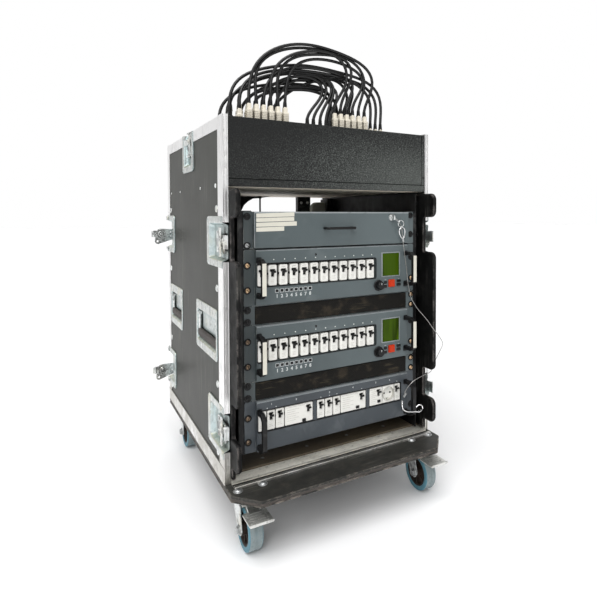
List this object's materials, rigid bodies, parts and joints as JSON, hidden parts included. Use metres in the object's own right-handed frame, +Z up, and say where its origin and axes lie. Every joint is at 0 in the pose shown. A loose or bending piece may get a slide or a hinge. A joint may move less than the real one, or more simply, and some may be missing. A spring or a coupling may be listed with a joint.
{
  "type": "dimmer rack",
  "caption": "Wheeled case with its lids off, holding a lockable drawer, rack-mounted dimmers, a power distribution unit and a patch field with jumper cables on top.",
  "frame": {"origin": "on the floor, under the middle of the case in width and in depth", "axes": "+Z up; -Y is the front, where the units face; +X is the right side seen from the front"},
  "size_m": [0.7026, 0.782, 1.1907],
  "materials": {
    "laminate_grey": "satin phenolic laminate on ply",
    "aluminium_edging": "satin extrusion",
    "zinc_hardware": "bright zinc plate",
    "black_coated_board": "fine texture",
    "phenolic_board": "satin phenolic film on ply",
    "birch_ply": "bare",
    "brown_ply": "dark film",
    "black_steel": "satin black",
    "blue_grey_paint": "satin",
    "brown_black_mesh": "perforated, matt",
    "galvanised_steel": "zinc coated sheet",
    "black_plastic": "satin",
    "red_plastic": "gloss",
    "cream_plastic": "satin",
    "cable_black": "satin jacket",
    "steel_wire": "stranded",
    "grey_blue_tread": "matt elastic tread",
    "black_grip": "matt"
  },
  "bodies": {
    "case": {"base_board": "phenolic_board", "case_floor": "brown_ply", "dimmer_lower_chassis": "galvanised_steel", "dimmer_lower_panel": "blue_grey_paint", "dimmer_upper_chassis": "galvanised_steel", "dimmer_upper_panel": "blue_grey_paint", "drawer_housing": "blue_grey_paint", "edge_frame_left": "aluminium_edging", "edge_frame_right": "aluminium_edging", "lining_left": "black_coated_board", "lining_right": "black_coated_board", "patch_cables_high": "cable_black", "patch_cables_low": "cable_black", "patch_deck": "black_steel", "patch_plugs": "cream_plastic", "power_chassis": "galvanised_steel", "power_panel": "blue_grey_paint", "rack_frame_left": "black_steel", "rack_frame_right": "black_steel", "safety_wire": "steel_wire", "side_panel_left": "laminate_grey", "side_panel_right": "laminate_grey", "sill_front": "aluminium_edging", "top_box_tray": "birch_ply", "top_fascia": "black_coated_board", "vent_panel_lower": "brown_black_mesh", "vent_panel_upper": "brown_black_mesh"},
    "brake_pedal_left": {"brake_pedal_left": "zinc_hardware"},
    "brake_pedal_right": {"brake_pedal_right": "zinc_hardware"},
    "breaker_levers_lower": {"breaker_levers_lower": "black_plastic"},
    "breaker_levers_power": {"breaker_levers_power": "black_plastic"},
    "breaker_levers_upper": {"breaker_levers_upper": "black_plastic"},
    "castor_fork_front_left": {"castor_fork_front_left": "zinc_hardware"},
    "castor_fork_front_right": {"castor_fork_front_right": "zinc_hardware"},
    "castor_fork_rear_left": {"castor_fork_rear_left": "zinc_hardware"},
    "castor_fork_rear_right": {"castor_fork_rear_right": "zinc_hardware"},
    "castor_wheel_front_left": {"castor_wheel_front_left": "grey_blue_tread"},
    "castor_wheel_front_right": {"castor_wheel_front_right": "grey_blue_tread"},
    "castor_wheel_rear_left": {"castor_wheel_rear_left": "grey_blue_tread"},
    "castor_wheel_rear_right": {"castor_wheel_rear_right": "grey_blue_tread"},
    "drawer": {"drawer": "blue_grey_paint"},
    "drawer_lock": {"drawer_lock": "zinc_hardware"},
    "encoder_lower": {"encoder_lower": "black_plastic"},
    "encoder_upper": {"encoder_upper": "black_plastic"},
    "latch_front_lower_left": {"latch_front_lower_left": "zinc_hardware"},
    "latch_front_lower_right": {"latch_front_lower_right": "zinc_hardware"},
    "latch_front_upper_left": {"latch_front_upper_left": "zinc_hardware"},
    "latch_front_upper_right": {"latch_front_upper_right": "zinc_hardware"},
    "latch_rear_lower_left": {"latch_rear_lower_left": "zinc_hardware"},
    "latch_rear_lower_right": {"latch_rear_lower_right": "zinc_hardware"},
    "latch_rear_upper_left": {"latch_rear_upper_left": "zinc_hardware"},
    "latch_rear_upper_right": {"latch_rear_upper_right": "zinc_hardware"},
    "latch_top_left": {"latch_top_left": "zinc_hardware"},
    "latch_top_right": {"latch_top_right": "zinc_hardware"},
    "red_key_lower": {"red_key_lower": "red_plastic"},
    "red_key_upper": {"red_key_upper": "red_plastic"},
    "side_handle_front_left": {"side_handle_front_left": "black_grip"},
    "side_handle_front_right": {"side_handle_front_right": "black_grip"},
    "side_handle_rear_left": {"side_handle_rear_left": "black_grip"},
    "side_handle_rear_right": {"side_handle_rear_right": "black_grip"}
  },
  "joints": [
    {"name": "latch_front_upper_left_lift", "type": "hinge", "parent": "case", "child": "latch_front_upper_left", "pos_m": [-0.2842, -0.2145, 0.695], "axis": [0, 0, -1], "range_deg": [0, 120]},
    {"name": "latch_front_upper_right_lift", "type": "hinge", "parent": "case", "child": "latch_front_upper_right", "pos_m": [0.2842, -0.2145, 0.695], "axis": [0, 0, 1], "range_deg": [-22, 98]},
    {"name": "latch_rear_upper_left_lift", "type": "hinge", "parent": "case", "child": "latch_rear_upper_left", "pos_m": [-0.2842, 0.3175, 0.695], "axis": [0, 0, 1], "range_deg": [-97, 23]},
    {"name": "latch_rear_upper_right_lift", "type": "hinge", "parent": "case", "child": "latch_rear_upper_right", "pos_m": [0.2842, 0.3175, 0.695], "axis": [0, 0, -1], "range_deg": [-97, 23]},
    {"name": "latch_front_lower_left_lift", "type": "hinge", "parent": "case", "child": "latch_front_lower_left", "pos_m": [-0.2842, -0.2145, 0.261], "axis": [0, 0, -1], "range_deg": [0, 120]},
    {"name": "latch_front_lower_right_lift", "type": "hinge", "parent": "case", "child": "latch_front_lower_right", "pos_m": [0.2842, -0.2145, 0.261], "axis": [0, 0, 1], "range_deg": [-22, 98]},
    {"name": "latch_rear_lower_left_lift", "type": "hinge", "parent": "case", "child": "latch_rear_lower_left", "pos_m": [-0.2842, 0.3175, 0.261], "axis": [0, 0, 1], "range_deg": [-97, 23]},
    {"name": "latch_rear_lower_right_lift", "type": "hinge", "parent": "case", "child": "latch_rear_lower_right", "pos_m": [0.2842, 0.3175, 0.261], "axis": [0, 0, -1], "range_deg": [-97, 23]},
    {"name": "latch_top_left_lift", "type": "hinge", "parent": "case", "child": "latch_top_left", "pos_m": [-0.2842, 0.0705, 0.923], "axis": [0, -1, 0], "range_deg": [0, 120]},
    {"name": "latch_top_right_lift", "type": "hinge", "parent": "case", "child": "latch_top_right", "pos_m": [0.2842, 0.0705, 0.923], "axis": [0, 1, 0], "range_deg": [0, 120]},
    {"name": "side_handle_front_left_swing", "type": "hinge", "parent": "case", "child": "side_handle_front_left", "pos_m": [-0.2842, -0.117, 0.497], "axis": [0, 1, 0], "range_deg": [0, 90], "stiffness_Nm_per_rad": 0.3},
    {"name": "side_handle_front_right_swing", "type": "hinge", "parent": "case", "child": "side_handle_front_right", "pos_m": [0.2842, -0.117, 0.497], "axis": [0, -1, 0], "range_deg": [0, 90], "stiffness_Nm_per_rad": 0.3},
    {"name": "side_handle_rear_left_swing", "type": "hinge", "parent": "case", "child": "side_handle_rear_left", "pos_m": [-0.2842, 0.2527, 0.497], "axis": [0, 1, 0], "range_deg": [0, 90], "stiffness_Nm_per_rad": 0.3},
    {"name": "side_handle_rear_right_swing", "type": "hinge", "parent": "case", "child": "side_handle_rear_right", "pos_m": [0.2842, 0.2527, 0.497], "axis": [0, -1, 0], "range_deg": [0, 90], "stiffness_Nm_per_rad": 0.3},
    {"name": "drawer_slide", "type": "slide", "parent": "case", "child": "drawer", "axis": [0, -1, 0], "range_m": [0, 0.34], "deforming": ["safety_wire"]},
    {"name": "drawer_lock_turn", "type": "hinge", "parent": "drawer", "child": "drawer_lock", "pos_m": [0.161, -0.2815, 0.7494], "axis": [0, -1, 0], "range_deg": [0, 90]},
    {"name": "castor_front_left_swivel", "type": "hinge", "parent": "case", "child": "castor_fork_front_left", "pos_m": [-0.242, -0.2695, 0.12], "axis": [0, 0, 1], "continuous": true},
    {"name": "castor_front_left_roll", "type": "hinge", "parent": "castor_fork_front_left", "child": "castor_wheel_front_left", "pos_m": [-0.242, -0.3045, 0.05], "axis": [1, 0, 0], "continuous": true},
    {"name": "castor_front_right_swivel", "type": "hinge", "parent": "case", "child": "castor_fork_front_right", "pos_m": [0.242, -0.2695, 0.12], "axis": [0, 0, 1], "continuous": true},
    {"name": "castor_front_right_roll", "type": "hinge", "parent": "castor_fork_front_right", "child": "castor_wheel_front_right", "pos_m": [0.242, -0.3045, 0.05], "axis": [1, 0, 0], "continuous": true},
    {"name": "castor_rear_left_swivel", "type": "hinge", "parent": "case", "child": "castor_fork_rear_left", "pos_m": [-0.242, 0.3415, 0.12], "axis": [0, 0, 1], "continuous": true},
    {"name": "castor_rear_left_roll", "type": "hinge", "parent": "castor_fork_rear_left", "child": "castor_wheel_rear_left", "pos_m": [-0.242, 0.3065, 0.05], "axis": [1, 0, 0], "continuous": true},
    {"name": "castor_rear_right_swivel", "type": "hinge", "parent": "case", "child": "castor_fork_rear_right", "pos_m": [0.242, 0.3415, 0.12], "axis": [0, 0, 1], "continuous": true},
    {"name": "castor_rear_right_roll", "type": "hinge", "parent": "castor_fork_rear_right", "child": "castor_wheel_rear_right", "pos_m": [0.242, 0.3065, 0.05], "axis": [1, 0, 0], "continuous": true},
    {"name": "brake_left_press", "type": "hinge", "parent": "castor_fork_front_left", "child": "brake_pedal_left", "pos_m": [-0.242, -0.3135, 0.108], "axis": [1, 0, 0], "range_deg": [-12, 4]},
    {"name": "brake_right_press", "type": "hinge", "parent": "castor_fork_front_right", "child": "brake_pedal_right", "pos_m": [0.242, -0.3135, 0.108], "axis": [1, 0, 0], "range_deg": [-12, 4]},
    {"name": "breaker_levers_upper_throw", "type": "hinge", "parent": "case", "child": "breaker_levers_upper", "pos_m": [0, -0.274, 0.618], "axis": [1, 0, 0], "range_deg": [0, 50]},
    {"name": "breaker_levers_lower_throw", "type": "hinge", "parent": "case", "child": "breaker_levers_lower", "pos_m": [0, -0.274, 0.4402], "axis": [1, 0, 0], "range_deg": [0, 50]},
    {"name": "breaker_levers_power_throw", "type": "hinge", "parent": "case", "child": "breaker_levers_power", "pos_m": [0, -0.274, 0.2784], "axis": [1, 0, 0], "range_deg": [0, 50]},
    {"name": "encoder_upper_turn", "type": "hinge", "parent": "case", "child": "encoder_upper", "pos_m": [0.12, -0.2795, 0.569], "axis": [0, -1, 0], "continuous": true},
    {"name": "encoder_lower_turn", "type": "hinge", "parent": "case", "child": "encoder_lower", "pos_m": [0.12, -0.2795, 0.3912], "axis": [0, -1, 0], "continuous": true},
    {"name": "red_key_upper_press", "type": "slide", "parent": "case", "child": "red_key_upper", "axis": [0, 1, 0], "range_m": [0, 0.002], "stiffness_N_per_m": 400},
    {"name": "red_key_lower_press", "type": "slide", "parent": "case", "child": "red_key_lower", "axis": [0, 1, 0], "range_m": [0, 0.002], "stiffness_N_per_m": 400}
  ]
}
